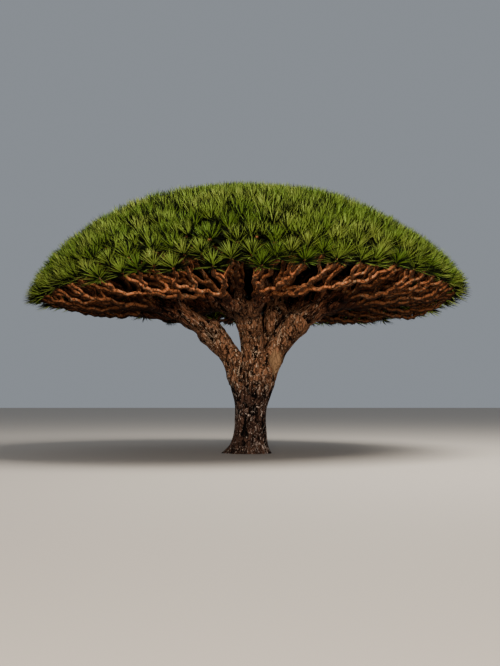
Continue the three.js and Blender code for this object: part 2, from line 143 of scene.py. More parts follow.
# A fixed number from 0 to 1 for a limb's own number and what it is used for, from well mixed bits
def chance(number, use):
    mixed = ((number * 64 + use + growth["seed"] * 4099) * 0x9E3779B1) & 0xFFFFFFFF
    mixed = ((mixed ^ (mixed >> 15)) * 0x85EBCA6B) & 0xFFFFFFFF
    mixed = ((mixed ^ (mixed >> 13)) * 0xC2B2AE35) & 0xFFFFFFFF
    return (mixed ^ (mixed >> 16)) / 4294967296


# The dome's profile: out = radius * sin(turn), up = rim height + rise * cos(turn) ^ fullness, and reach is
# the radius on a flat map with the same area, so its square grows by each ring's area over pi.
def crownProfile():
    turn = np.linspace(0, crown["rimTurn"], crown["profileSteps"])
    rise = crown["height"] - crown["rimHeight"]
    steep = np.abs(np.cos(turn))
    out = crown["radius"] * np.sin(turn)
    up = crown["rimHeight"] + rise * np.sign(np.cos(turn)) * steep ** crown["fullness"]
    slope = np.stack([
        crown["radius"] * np.cos(turn),
        rise * crown["fullness"] * steep ** (crown["fullness"] - 1) * np.sin(turn),
    ])
    slope /= np.linalg.norm(slope, axis=0)
    rings = (out[1:] + out[:-1]) * np.hypot(np.diff(out), np.diff(up))
    reach = np.sqrt(np.concatenate([[0], np.cumsum(rings)]))
    return {"out": out, "up": up, "along": slope[0], "down": slope[1], "reach": reach}


profile = crownProfile()
mapRadius = profile["reach"][-1]


# How much higher the crown stands than a level, round dome: waves round the rim and low bumps all over
def crownLift(angle, out):
    waves = sum(rise * np.cos(times * (angle - peak)) for rise, times, peak in crown["waves"])
    across = 2 * np.pi * (out * np.cos(angle) - crown["swellCrest"][0]) / crown["swellWide"]
    back = 2 * np.pi * (out * np.sin(angle) - crown["swellCrest"][1]) / crown["swellDeep"]
    share = (out / crown["radius"]) ** 2
    shoulder = -crown["shoulder"] * np.cos(angle) * 4 * share * np.maximum(0, 1 - share)
    return waves * share + shoulder + crown["swell"] * np.cos(across) * np.cos(back)


# The point over a place on the map: the profile's point, moved along its normal by the height above it
def onCrown(place, above):
    reach = np.hypot(place[..., 0], place[..., 1])
    angle = np.arctan2(place[..., 1], place[..., 0])
    at = {key: np.interp(reach, profile["reach"], profile[key]) for key in ("out", "up", "along", "down")}
    beyond = np.maximum(0, reach - mapRadius)
    out = at["out"] + at["down"] * above + at["along"] * beyond
    up = at["up"] + at["along"] * above - at["down"] * beyond
    lifted = up + crownLift(angle, out)
    return np.stack([crown["shift"] + np.cos(angle) * out, np.sin(angle) * out, lifted], -1)


# The crown's normal, from its surface and a shell just below it
def crownNormal(place):
    return unit(onCrown(place, 0) - onCrown(place, -0.1))


# A direction between the crown's normal and plumb
def turnedUp(place, share):
    return unit(crownNormal(place) * (1 - share) + np.array([0, 0, share]))


# The part of a convex outline that lies behind a line
def keepBehind(outline, onLine, facing):
    side = (outline - onLine) @ facing
    after = np.roll(side, -1)
    share = side / np.where(side == after, 1, side - after)
    crossing = outline + (np.roll(outline, -1, 0) - outline) * share[:, None]
    both = np.stack([outline, crossing], 1).reshape(-1, 2)
    return both[np.stack([side <= 0, side * after < 0], 1).ravel()]


# Area and centroid of an outline from the cross products of its corners
def measure(outline):
    after = np.roll(outline, -1, 0)
    cross = (outline[:, 0] * after[:, 1] - after[:, 0] * outline[:, 1]) / 2
    area = cross.sum()
    return area, ((outline + after) * cross[:, None]).sum(0) / 3 / area


# Halves a piece across its longest way, a little askew and a little unevenly, as the limb's number says
def halve(outline, number):
    angles = np.pi * np.arange(growth["splitWays"]) / growth["splitWays"]
    spots = outline @ np.stack([np.cos(angles), np.sin(angles)])
    turn = angles[np.argmax(np.ptp(spots, axis=0))] + (chance(number, 1) - 0.5) * growth["splitLean"]
    share = 0.5 + (chance(number, 2) - 0.5) * growth["splitUneven"]
    facing = np.array([np.cos(turn), np.sin(turn)])
    low, high = (outline @ facing).min(), (outline @ facing).max()
    wanted = measure(outline)[0] * share
    while high - low > growth["splitExact"]:
        middle = (low + high) / 2
        part = keepBehind(outline, facing * middle, facing)
        if len(part) > 2 and measure(part)[0] > wanted:
            high = middle
        else:
            low = middle
    return keepBehind(outline, facing * low, facing), keepBehind(outline, facing * low, -facing)


# Each bough feeds the part of the map that lies nearest to its own place
def pieceOf(name):
    angles = 2 * np.pi * np.arange(crown["mapCorners"]) / crown["mapCorners"]
    outline = mapRadius * np.stack([np.cos(angles), np.sin(angles)], 1)
    own = np.array(boughs[name]["over"])
    for other in boughs:
        if other != name:
            theirs = np.array(boughs[other]["over"])
            outline = keepBehind(outline, (own + theirs) / 2, theirs - own)
    return outline


# A cubic curve's points, or its direction, for an array of shares: the weights are Bernstein's
def curvePoint(controls, t):
    weights = np.stack([(1 - t) ** 3, 3 * t * (1 - t) ** 2, 3 * t * t * (1 - t), t ** 3], -1)
    return weights @ controls


def curveHeading(controls, t):
    weights = np.stack([(1 - t) ** 2, 2 * t * (1 - t), t * t], -1)
    return unit(weights @ np.diff(controls, axis=-2))


# A fork stands on the curve from its bough's knee to the twig tip over the middle of its piece of crown
def forkPoint(name, outline, share):
    knee, heading = np.array(boughs[name]["knee"]), unit(np.array(boughs[name]["heading"], float))
    place = measure(outline)[1]
    tip = onCrown(place, -crown["tipDepth"])
    span = np.linalg.norm(tip - knee)
    leave = knee + unit(heading + (tip - knee) / span) * span * growth["leave"]
    arriving = unit(crownNormal(place) + np.array([0, 0, boughs[name]["upright"]]))
    arrive = tip - arriving * span * growth["arrive"]
    way = np.array([knee, leave, arrive, tip])
    return curvePoint(way, np.array(share)), curveHeading(way, np.array(min(share, growth["nearEnd"])))


# The limb between two forks: it leaves along its parent and arrives halfway between straight and its own way
def limbBetween(start, end, handle, wide=0):
    span = np.linalg.norm(end[0] - start[0])
    straight = unit(end[0] - start[0])
    heading = unit(straight + end[1])
    leaving = unit(start[1] + (straight - start[1] * (straight @ start[1])) * wide * 2)
    controls = np.array([
        start[0],
        start[0] + leaving * span * handle,
        end[0] - heading * span * growth["endHandle"],
        end[0],
    ])
    return controls, (end[0], heading)


# Every limb as a row: its bough, order, number, curve and the place on the map over which its piece lies
def growLimbs():
    limbs = []

    def growFrom(name, start, outline, order, number):
        end = forkPoint(name, outline, growth["forkAt"][order])
        if order == growth["lastOrder"]:
            place = measure(outline)[1]
            end = onCrown(place, 0) - turnedUp(place, crown["tipUpright"]) * crown["tipDepth"], end[1]
        wide = growth["wide"] if order >= growth["wideFrom"] else 0
        controls, reached = limbBetween(start, end, growth["startHandle"], wide)
        addLimb(name, controls, reached, outline, order, number)

    def addLimb(name, controls, reached, outline, order, number):
        limbs.append({
            "bough": name,
            "order": order,
            "number": number,
            "controls": controls,
            "place": measure(outline)[1],
        })
        if order < growth["lastOrder"]:
            for k, half in enumerate(halve(outline, number)):
                growFrom(name, reached, half, order + 1, number * 2 + k)

    for i, (name, bough) in enumerate(boughs.items()):
        start = np.array([*bough["seat"], trunk["top"]]), unit(np.array(bough["leaving"], float))
        end = np.array(bough["knee"]), unit(np.array(bough["heading"], float))
        controls, reached = limbBetween(start, end, growth["seatHandle"])
        addLimb(name, controls, reached, pieceOf(name), 1, i + 2)
    return limbs


limbs = growLimbs()
print("limbs grown:", len(limbs))


# Smooth random numbers in space: each point blends the fixed numbers at the eight corners of its lattice
# cell, and the salt picks other numbers
def latticeNoise(points, salt):
    cell = np.floor(points).astype(np.int64)
    part = points - cell
    part = part * part * (3 - 2 * part)
    total = np.zeros(points.shape[:-1])
    for corner in np.ndindex(2, 2, 2):
        at = cell + np.array(corner)
        mixed = (at[..., 0] * 73856093) ^ (at[..., 1] * 19349663)
        mixed = mixed ^ (at[..., 2] * 83492791) ^ (salt * 668265263)
        mixed = ((mixed & 0xFFFFFFFF) ^ ((mixed & 0xFFFFFFFF) >> 13)) * 1274126177 & 0xFFFFFFFF
        value = ((mixed ^ (mixed >> 16)) & 0xFFFF) / 0xFFFF
        total += value * np.where(np.array(corner) == 1, part, 1 - part).prod(-1)
    return total


# A mesh from points and groups of faces that have the same number of corners
def meshFrom(name, spots, faceGroups, rounded):
    mesh = bpy.data.meshes.new(name)
    corners = np.concatenate([faces.ravel() for faces in faceGroups])
    sizes = np.concatenate([np.full(len(faces), faces.shape[1]) for faces in faceGroups])
    mesh.vertices.add(len(spots))
    mesh.vertices.foreach_set("co", spots.astype(np.float32).ravel())
    mesh.loops.add(len(corners))
    mesh.loops.foreach_set("vertex_index", corners.astype(np.int32))
    mesh.polygons.add(len(sizes))
    mesh.polygons.foreach_set("loop_start", np.concatenate([[0], np.cumsum(sizes)[:-1]]).astype(np.int32))
    mesh.update(calc_edges=True)
    mesh.validate()
    mesh.polygons.foreach_set("use_smooth", np.full(len(sizes), rounded))
    return mesh


def pieceFrom(mesh):
    piece = bpy.data.objects.new(mesh.name, mesh)
    bpy.context.scene.collection.objects.link(piece)
    return piece


# Quads of a closed tube of rings, and the fans of triangles that close it on a point at each end. Each tube's
# points are its rings in order, then its start point and its end point.
def tubeFaces(tubeCount, rings, sides):
    ring, side = np.meshgrid(np.arange(rings - 1), np.arange(sides), indexing="ij")
    after = (side + 1) % sides
    low, high = ring * sides, (ring + 1) * sides
    quads = np.stack([low + side, low + after, high + after, high + side], -1).reshape(-1, 4)
    one = np.arange(sides)
    two = (one + 1) % sides
    last, first = (rings - 1) * sides, rings * sides
    begin = np.stack([np.full(sides, first), two, one], -1)
    finish = np.stack([last + one, last + two, np.full(sides, first + 1)], -1)
    shift = (np.arange(tubeCount) * (rings * sides + 2))[:, None, None]
    return (shift + quads).reshape(-1, 4), (shift + np.concatenate([begin, finish])).reshape(-1, 3)


# A level direction square to each given one, or one square to +X where the given one is close to plumb
def squareTo(directions):
    plumb = np.abs(directions[:, 2:]) > 0.9
    return unit(np.cross(directions, np.where(plumb, [1.0, 0.0, 0.0], [0.0, 0.0, 1.0])))


# Limbs don't run true: each bends to and fro, side * sine + up * sine of the way along, fading at both ends
crook = {
    "sway": [0, 0, 0.02, 0.03, 0.04, 0.05, 0.05, 0.05, 0.05],  # of each order, as a share of its length
    "wave": [0, 1, 1.5, 1.2, 1, 0.8, 0.7, 0.6, 0.6],  # length of one bend to and fro
    "apart": 2.399,  # radians between the bends of one limb and those of the next
    "above": 0.7,  # up and down the bends are so much lower, come so much faster and start so much later
    "faster": 1.31,
    "later": 1.7,
}


def crooked(controls, numbers, t, square, upward, order):
    span = np.linalg.norm(controls[:, 3] - controls[:, 0], axis=1)[:, None]
    phase = numbers[:, None] * crook["apart"]
    turn = 2 * np.pi * span * t / crook["wave"][order]
    fade = crook["sway"][order] * np.sin(np.pi * t) ** 0.5
    across = fade * np.sin(turn + phase)
    above = fade * crook["above"] * np.sin(turn * crook["faster"] + phase * crook["later"])
    return square * across[..., None] + upward * above[..., None]


# Each tube begins with a ring inside its parent and ends in a round cap: how far back or ahead their rings
# stand, and how wide they are, in radii. The grid has the rings and sides of each order.
tube = {
    "inTrunk": (0.5, 0.75),
    "inLimb": (0.9, 0.85),
    "capAhead": [0.45, 0.8],
    "capShare": [0.88, 0.58],
    "pole": 0.2,  # and how far beyond them it closes on a point
    "grid": [None, (70, 96), (44, 64), (36, 48), (30, 36), (10, 10), (9, 9), (8, 8), (7, 8)],
}


# Tubes along the limbs of one order, all at once: a point = curve(t) + radius(t) * relief * (cos a * side +
# sin a * up)
def limbTubes(chosen, relief):
    order = chosen[0]["order"]
    rings, sides = tube["grid"][order]
    controls = np.array([limb["controls"] for limb in chosen])
    numbers = np.array([limb["number"] for limb in chosen])
    own = growth["radius"][order]
    parents = growth["seatRadius"] if order == 1 else growth["radius"][order - 1] * growth["narrower"]
    back, sunk = tube["inTrunk"] if order == 1 else tube["inLimb"]
    t = np.concatenate([[0], np.linspace(0, 1, rings), [1, 1]])
    ahead = np.concatenate([[-back], np.zeros(rings), tube["capAhead"]])
    share = np.concatenate([[sunk], np.ones(rings), tube["capShare"]])
    radius = own + (parents - own) * (1 - smooth(t / growth["flareShare"]))
    if order < len(growth["knuckleLong"]):
        fromFork = (1 - t if order == 1 else t) / growth["knuckleLong"][order]
        radius = radius * (1 + growth["knuckle"] * np.exp(-(fromFork ** 2)))
    heading = curveHeading(controls, t)
    middle = curvePoint(controls, t) + heading * (radius * ahead)[:, None]
    chord = unit(controls[:, 3] - controls[:, 0])
    square = squareTo(chord)[:, None]
    middle = middle + crooked(controls, numbers, t, square, np.cross(chord[:, None], square), order)
    heading = unit(np.gradient(middle, axis=1))
    side = unit(square - heading * (square * heading).sum(-1, keepdims=True))
    up = np.cross(heading, side)
    turn = 2 * np.pi * np.arange(sides) / sides
    length = np.linalg.norm(np.diff(middle, axis=1), axis=-1)
    along = np.concatenate([np.zeros((len(chosen), 1)), np.cumsum(length, 1)], 1)
    grooved = relief(along[:, :, None], turn[None, None, :], numbers[:, None, None], t[None, :, None])
    thick = (radius * share)[None, :, None] * grooved
    out = np.cos(turn)[:, None] * side[:, :, None] + np.sin(turn)[:, None] * up[:, :, None]
    spots = (middle[:, :, None] + thick[..., None] * out).reshape(len(chosen), -1, 3)
    ends = np.stack([
        middle[:, 0] - heading[:, 0] * radius[0] * tube["pole"],
        middle[:, -1] + heading[:, -1] * radius[-1] * tube["pole"],
    ], 1)
    spots = np.concatenate([spots, ends], 1)
    quads, fans = tubeFaces(len(chosen), len(radius), sides)
    return spots.reshape(-1, 3), quads, fans


def limbsOf(order, name=None):
    return [limb for limb in limbs if limb["order"] == order and name in (None, limb["bough"])]


def joinParts(parts):
    starts = np.cumsum([0] + [len(spots) for spots, quads, fans in parts])[:-1]
    spots = np.concatenate([part[0] for part in parts])
    quads = np.concatenate([part[1] + start for part, start in zip(parts, starts)])
    fans = np.concatenate([part[2] + start for part, start in zip(parts, starts)])
    return spots, quads, fans


# How far the trunk's top reaches at an angle: the outermost of the seats' circles
def seatsOutline(angle, centre):
    dx, dy = np.cos(angle), np.sin(angle)
    reach = np.zeros_like(angle)
    for bough in boughs.values():
        x, y = bough["seat"][0] - centre, bough["seat"][1]
        along = x * dx + y * dy
        rest = growth["seatRadius"] ** 2 - x * x - y * y + along * along
        reach = np.maximum(reach, np.where(rest > 0, along + np.sqrt(np.maximum(rest, 0)), 0))
    return reach


# The trunk's radius: waist, flared foot and root swellings that fade upwards, then the seats' outline
def trunkRadius(angle, up):
    swelling = 0
    for turn, out in trunk["roots"]:
        off = angle - math.radians(turn)
        nearest = np.arctan2(np.sin(off), np.cos(off))
        swelling = swelling + out * np.exp(-((nearest / trunk["rootSpread"]) ** 2) - up / trunk["rootFade"])
    plain = trunk["waist"] + trunk["footWider"] * np.exp(-up / trunk["footFade"]) + swelling
    rising = smooth((up - trunk["crotchFrom"]) / (trunk["top"] - trunk["crotchFrom"]))
    spread = rising ** trunk["crotchSharpness"]
    return plain + (seatsOutline(angle, trunk["lean"] * trunk["top"]) - plain) * spread


# The bark's relief, in metres on the trunk and as shares of the radius on limbs: how high each kind is, and
# how many of its noise cells go to a unit round the limb and to a metre along it
trunkGrain = {
    "twist": 0.25,  # radians a metre
    "flute": 0.072,  # broad lengthwise flutes
    "fluteCells": (1.9, 0.9),
    "rope": 0.03,  # rope-like ridges on them
    "ropeCells": (3.6, 1.6),
    "knob": 0.022,  # knobs and scars
    "knobCells": (4.5, 8.0),
    "lump": 1.3,  # broader lumps, against the knobs
    "lumpCells": (2.4, 4.0),
}
limbGrain = {
    "twist": 0.35,
    "flute": 0.26,
    "fluteCells": (1.5, 1.3),
    "rope": 0.1,
    "ropeCells": (2.8, 2.2),
    "knob": 0.14,
    "knobCells": (2.6, 7.0),
    "apart": 7.31,  # metres between the noise of one limb and that of the next
}
twigGrain = {
    "knot": 0.15,  # height of a knot and a waist, then the place and length of each as shares of the twig
    "knotAt": (0.88, 0.2),
    "waistAt": (0.3, 0.25),
    "knob": 0.12,
    "knobCells": (1.6, 9.0),
    "apart": 3.17,
}
ropes = {"sharpness": 1.5, "level": 0.4}


# Lattice noise round a limb, at (cos, sin) * cells round it and cells along it from the limb's own start
def grainNoise(along, turn, start, cells, salt):
    across, lengthwise = cells
    places = np.cos(turn) * across, np.sin(turn) * across, along * lengthwise + start
    return latticeNoise(np.stack(np.broadcast_arrays(*places), -1), salt)


# Turns noise into ridges: highest where it crosses its middle and falling on both sides, sharpened by a power
def ridged(noise):
    return (1 - np.abs(2 * noise - 1)) ** ropes["sharpness"] - ropes["level"]


# Trunk relief: flutes, ropes and knobs, stretched lengthwise and twisted
def trunkRelief(angle, up):
    turn = angle + trunkGrain["twist"] * up
    flutes = grainNoise(up, turn, 0, trunkGrain["fluteCells"], 3) - 0.5
    ropy = ridged(grainNoise(up, turn, 0, trunkGrain["ropeCells"], 4))
    knobs = grainNoise(up, turn, 0, trunkGrain["knobCells"], 5) - 0.5
    lumps = grainNoise(up, turn, 0, trunkGrain["lumpCells"], 6) - 0.5
    knobs = knobs + lumps * trunkGrain["lump"]
    return trunkGrain["flute"] * flutes + trunkGrain["rope"] * ropy + trunkGrain["knob"] * knobs


# The trunk's grid: a point = (lean * up + cos * radius, sin * radius, up), where radius is trunkRadius plus
# the relief, which grows calmer towards the top
def trunkTube():
    rows, sides = trunk["rows"], trunk["sides"]
    up = trunk["top"] * np.linspace(0, 1, rows)[:, None] ** trunk["rowsLow"] + np.zeros(sides)
    angle = np.zeros((rows, 1)) + 2 * np.pi * np.arange(sides) / sides
    calm = 1 - trunk["calmer"] * smooth(up / trunk["top"])
    radius = trunkRadius(angle, up) + trunkRelief(angle, up) * calm
    spots = np.stack([trunk["lean"] * up + np.cos(angle) * radius, np.sin(angle) * radius, up], -1)
    ends = np.array([[0, 0, 0], [trunk["lean"] * trunk["top"], 0, trunk["top"]]])
    quads, fans = tubeFaces(1, rows, sides)
    return np.concatenate([spots.reshape(-1, 3), ends]), quads, fans


# Limb relief: 1 + flutes, ropes and knobs, each limb with noise of its own
def limbRelief(along, turn, number, t):
    turn = turn + limbGrain["twist"] * along + number
    start = number * limbGrain["apart"]
    flutes = grainNoise(along, turn, start, limbGrain["fluteCells"], 11) - 0.5
    ropy = ridged(grainNoise(along, turn, start, limbGrain["ropeCells"], 12))
    knobs = grainNoise(along, turn, start, limbGrain["knobCells"], 13) - 0.5
    return 1 + limbGrain["flute"] * flutes + limbGrain["rope"] * ropy + limbGrain["knob"] * knobs


# Twig relief: 1 + a knot before the next fork - a waist after the last, each a bell curve of t, + low knobs
def twigRelief(along, turn, number, t):
    bells = twigGrain["knotAt"], twigGrain["waistAt"]
    knot, waist = [np.exp(-(((t - at) / long) ** 2)) for at, long in bells]
    start = number * twigGrain["apart"]
    knobs = grainNoise(along, turn, start, twigGrain["knobCells"], 21) - 0.5
    return 1 + twigGrain["knot"] * (knot - waist) + twigGrain["knob"] * knobs


# The skin over trunk and limbs
skin = {
    "trunkVoxel": 0.021,
    "limbVoxel": 0.024,
    "evened": 0.5,  # how much the remeshed skin is smoothed
    # The underside below carries painted shade
    "underFrom": 0.3,  # the underside begins where the normal rises less than this, and is full at the next
    "underTo": -0.55,
    # The fold below gets painted shade
    "fold": 0.16,  # a fold between two boughs is this wide, and begins between these heights
    "foldFrom": (2.75, 3.1),
    "foldSteps": 40,
}


# Runs a voxel remesh over closed tubes that cross, which leaves one skin with rounded forks
def remeshed(name, part, voxel):
    rough = pieceFrom(meshFrom(name + "Rough", part[0], part[1:], True))
    remesh = rough.modifiers.new("remesh", "REMESH")
    remesh.mode = "VOXEL"
    remesh.voxel_size = voxel
    evened = rough.modifiers.new("smooth", "SMOOTH")
    evened.factor = skin["evened"]
    evened.iterations = 1
    graph = bpy.context.evaluated_depsgraph_get()
    mesh = bpy.data.meshes.new_from_object(rough.evaluated_get(graph))
    mesh.name = name
    bpy.data.objects.remove(rough)
    mesh.polygons.foreach_set("use_smooth", np.full(len(mesh.polygons), True))
    return pieceFrom(mesh)


def pointsOf(piece):
    spots = np.empty(len(piece.data.vertices) * 3)
    piece.data.vertices.foreach_get("co", spots)
    return spots.reshape(-1, 3)


def store(piece, name, values):
    piece.data.attributes.new(name, "FLOAT", "POINT").data.foreach_set("value", values)


# Stores how much each point of the bark looks down, from 0 to 1, by the rise of its normal, as the mask for
# painted shade on undersides
def markUndersideShade(piece):
    normals = np.empty(len(piece.data.vertices) * 3)
    piece.data.vertex_normals.foreach_get("vector", normals)
    rise = normals.reshape(-1, 3)[:, 2]
    store(piece, "underside", smooth((skin["underFrom"] - rise) / (skin["underFrom"] - skin["underTo"])))


# Stores how deep each point lies in a fold between two boughs, as the mask for painted shade in the crease: 1
# where it is as far from one bough's curve as from the next, falling to 0 where the two distances differ by
# the fold's width
def markFoldShade(piece):
    spots = pointsOf(piece)
    shares = np.linspace(0, 1, skin["foldSteps"])
    lines = [curvePoint(limb["controls"], shares) for limb in limbsOf(1)]
    away = [np.linalg.norm(spots[:, None] - line, axis=-1).min(1) for line in lines]
    nearest = np.sort(away, axis=0)
    low, high = skin["foldFrom"]
    deep = 1 - smooth((nearest[1] - nearest[0]) / skin["fold"])
    store(piece, "fold", deep * smooth((spots[:, 2] - low) / (high - low)))


# Presses what the relief pushed below the ground back onto the flat cut
def seatOnGround(piece):
    spots = pointsOf(piece)
    spots[:, 2] = np.maximum(spots[:, 2], 0)
    piece.data.vertices.foreach_set("co", spots.ravel())
    piece.data.update()


trunkParts = joinParts([trunkTube(), limbTubes(limbsOf(1), limbRelief)])
trunkSkin = remeshed("trunk_bark", trunkParts, skin["trunkVoxel"])
seatOnGround(trunkSkin)
print("trunk skin:", len(trunkSkin.data.polygons))
limbParts = joinParts([limbTubes(limbsOf(order), limbRelief) for order in (2, 3)])
limbSkin = remeshed("limb_bark", limbParts, skin["limbVoxel"])
print("limb skin:", len(limbSkin.data.polygons))
stemSkin = remeshed("stem_bark", limbTubes(limbsOf(4), limbRelief), skin["limbVoxel"])
print("stem skin:", len(stemSkin.data.polygons))
for piece in (trunkSkin, limbSkin, stemSkin):
    markUndersideShade(piece)
markFoldShade(trunkSkin)

twigPieces = {}
for name in boughs:
    parts = [limbTubes(limbsOf(order, name), twigRelief) for order in range(5, growth["lastOrder"] + 1)]
    spots, quads, fans = joinParts(parts)
    twigPieces[name] = pieceFrom(meshFrom("twigs_" + name, spots, [quads, fans], True))
    markUndersideShade(twigPieces[name])
print("twigs:", sum(len(piece.data.polygons) for piece in twigPieces.values()))

# The rosette of sword leaves on each twig's tip. Its leaves are counted from the innermost to the outermost.
rosette = {
    "leaves": 160,
    "axisSpread": 0.08,
    "young": 0.42,  # length of the innermost leaves
    "old": 0.46,  # of the outermost
    "grown": 2.2,  # leaves reach that length at the rank 1 / grown
    "longSpread": (0.86, 1.06),
    "first": math.radians(4),  # lean of the innermost from the rosette's axis
    "last": math.radians(86),  # and of the outermost at the crown's rim
    "crowded": math.radians(54),  # the same inside the crown, where the rosettes stand close
    "leanSpread": 0.07,
    "turnSpread": 0.12,
    "rim": (0.82, 0.94),  # shares of the map's radius between which the rosettes open out
    # Skirt leaves take the near-black tints: partly dead leaves' own dark, partly painted shade
    "skirtFrom": 0.8,  # inside the crown the outermost leaves are a skirt of short, broad, dead ones
    "skirtLean": (math.radians(72), math.radians(104)),
    "skirtLong": 0.56,
    "skirtWide": 0.15,
    "lowest": [0.0, -0.12, -0.5, -1.0],  # least rise of a leaf: inside, at the rim, in skirts, in tufts
    "lowSpread": 0.22,
    "bunches": 3,  # inside the crown the leaves part into this many bunches round a middle one
    "bunchOut": 0.18,  # at this distance
    "above": 0.05,  # how far up the twig's axis from its tip the first leaf stands
    "stem": 0.1,  # length of twig that the leaves stand on
    "stemRadius": 0.04,
    "width": 0.03,  # of the innermost leaves
    "wider": 0.045,  # of the outermost
    "wideSpread": (0.85, 1.1),
    "widening": (1.6, 0.6),  # the width grows over smooth(rank * the first - the second)
    "keel": 0.016,  # depth of a blade
    "widest": 0.22,  # at this share of its length
    "arch": 0.012,
    "droop": 0.05,
    "tints": 6,
    # Dark leaves take the near-black tints: painted shade, and towards the outermost partly old leaves
    "dark": (0.42, 0.75),  # share of dark leaves among the innermost, and among the outermost
    "darkFrom": 0.2,  # it grows from this rank, over so many ranks
    "darkOver": 0.5,
}
golden = math.pi * (3 - math.sqrt(5))

# Small bunches of old leaves that hang from limbs, near-black partly as painted shade: bough, place,
# direction, and size in rosettes
tufts = [
    ("left", (-2.26, -0.1, 3.8), (-0.5, -0.1, -1), 0.5),
    ("rear_right", (0.52, 0.88, 3.84), (-0.6, 0, -0.6), 0.8),
    ("rear_right", (0.56, 1.0, 4.1), (-0.6, 0, 0.35), 0.8),
    ("rear_left", (-0.26, 4.66, 5.54), (0.4, -1, 0.2), 0.75),
    ("rear_right", (1.67, 4.26, 5.58), (-0.2, -1, -0.3), 0.75),
]


# Leaves as closed three-sided blades. Leaf k of a rosette turns by k golden angles, and the cosine of its
# lean falls evenly from first to last, so they stand evenly. A blade runs from its base over three corners at
# its widest, which stand off its line by the arch, to its point, and moves aside with its bunch.
def leafBlades(tips, axes, opened, hung, draws):
    leaves = np.arange(rosette["leaves"])
    count = (len(tips), len(leaves))
    rank = (leaves + 0.5) / len(leaves)
    first = rosette["first"]
    last = rosette["crowded"] + (rosette["last"] - rosette["crowded"]) * opened[:, None]
    skirt = (rank > rosette["skirtFrom"]) & (opened[:, None] < 0.5)
    turn = leaves * golden + draws.uniform(0, 2 * np.pi, (len(tips), 1))
    turn = turn + draws.normal(0, rosette["turnSpread"], count)
    cosine = math.cos(first) + (np.cos(last) - math.cos(first)) * rank
    lean = np.arccos(np.clip(cosine, -1, 1)) + draws.normal(0, rosette["leanSpread"], count)
    lean = np.where(skirt, draws.uniform(*rosette["skirtLean"], count), lean)
    length = rosette["young"] + (rosette["old"] - rosette["young"]) * smooth(rank * rosette["grown"])
    length = np.where(skirt, rosette["skirtLong"], length) * draws.uniform(*rosette["longSpread"], count)
    side = squareTo(axes)[:, None]
    up = np.cross(axes, side[:, 0])[:, None]
    axis = axes[:, None]
    out = np.cos(turn)[..., None] * side + np.sin(turn)[..., None] * up
    away = np.cos(lean)[..., None] * axis + np.sin(lean)[..., None] * out
    inside, rim, loose, hanging = rosette["lowest"]
    low = np.where(hung[:, None], hanging, inside + (rim - inside) * opened[:, None])
    low = np.where(skirt, loose, low) - draws.uniform(0, rosette["lowSpread"], count)
    away[..., 2] = np.maximum(away[..., 2], low)
    away = unit(away)
    across = unit(np.cross(axis, away))
    below = np.cross(away, across)
    below = np.where((below * axis).sum(-1, keepdims=True) > 0, -below, below)
    along = axis * (rosette["above"] - rosette["stem"] * rank[:, None])
    base = tips[:, None] + along + out * (rosette["stemRadius"] * rank[:, None])
    droop = np.array([0, 0, -rosette["droop"]]) * (rank ** 2)[:, None]
    group = leaves % (rosette["bunches"] + 1)
    bunch = 2 * np.pi * group / rosette["bunches"] + draws.uniform(0, 2 * np.pi, (len(tips), 1))
    parted = rosette["bunchOut"] * (1 - opened[:, None]) * ~skirt * (group > 0)
    aside = (np.cos(bunch)[..., None] * side + np.sin(bunch)[..., None] * up) * parted[..., None]
    middle = base + aside + away * (length * rosette["widest"])[..., None] - below * rosette["arch"]
    point = base + aside + away * length[..., None] + droop
    times, less = rosette["widening"]
    broad = rosette["width"] + (rosette["wider"] - rosette["width"]) * smooth(rank * times - less)
    broad = np.where(skirt, rosette["skirtWide"], broad)
    wide = (broad * draws.uniform(*rosette["wideSpread"], count))[..., None] / 2
    keel = below * rosette["keel"]
    return np.stack([base, middle - across * wide, middle + across * wide, middle + keel, point], -2), skirt


# Corner order that turns every face of a blade outwards: three faces from the root and three to the point
bladeFaces = np.array([[0, 2, 1], [0, 3, 2], [0, 1, 3], [1, 2, 4], [2, 3, 4], [3, 1, 4]])
leafPieces = {}
for i, name in enumerate(boughs):
    ends = limbsOf(growth["lastOrder"], name)
    tips = np.array([limb["controls"][3] for limb in ends])
    places = np.array([limb["place"] for limb in ends])
    draws = np.random.default_rng(growth["seed"] * 100 + i)
    axes = turnedUp(places, crown["upright"])
    axes = unit(axes + draws.normal(0, rosette["axisSpread"], axes.shape))
    opened = np.linalg.norm(places, axis=1) / mapRadius
    opened = smooth((opened - rosette["rim"][0]) / (rosette["rim"][1] - rosette["rim"][0]))
    ownTufts = [tuft for tuft in tufts if tuft[0] == name]
    for bough, place, way, size in ownTufts:
        tips = np.append(tips, [place], 0)
        axes = np.append(axes, [unit(np.array(way, float))], 0)
        opened = np.append(opened, 1)
    hung = np.arange(len(tips)) >= len(ends)
    blades, skirt = leafBlades(tips, axes, opened, hung, draws)
    for at, (bough, place, way, size) in enumerate(ownTufts, len(ends)):
        blades[at] = tips[at] + (blades[at] - tips[at]) * size
    number = np.arange(blades.shape[0] * blades.shape[1])[:, None, None] * blades.shape[2]
    faces = (number + bladeFaces).reshape(-1, 3)
    mesh = meshFrom("leaves_" + name, blades.reshape(-1, 3), [faces], False)
    tint = draws.integers(0, rosette["tints"], len(tips))[:, None] + np.zeros(rosette["leaves"], int)
    rank = np.arange(rosette["leaves"]) / rosette["leaves"]
    inner, outer = rosette["dark"]
    oldAndShadedShare = inner + (outer - inner) * smooth((rank - rosette["darkFrom"]) / rosette["darkOver"])
    # Leaves in the near-black tints: painted shade, and in skirts, tufts and outer ranks partly old, dead
    # leaves
    dark = (draws.uniform(0, 1, tint.shape) < oldAndShadedShare) | skirt | hung[:, None]
    indices = np.repeat(np.where(dark, rosette["tints"] + tint % 2, tint).ravel(), len(bladeFaces))
    leafPieces[name] = (pieceFrom(mesh), indices)
print("leaves:", sum(len(piece.data.polygons) for piece, indices in leafPieces.values()))


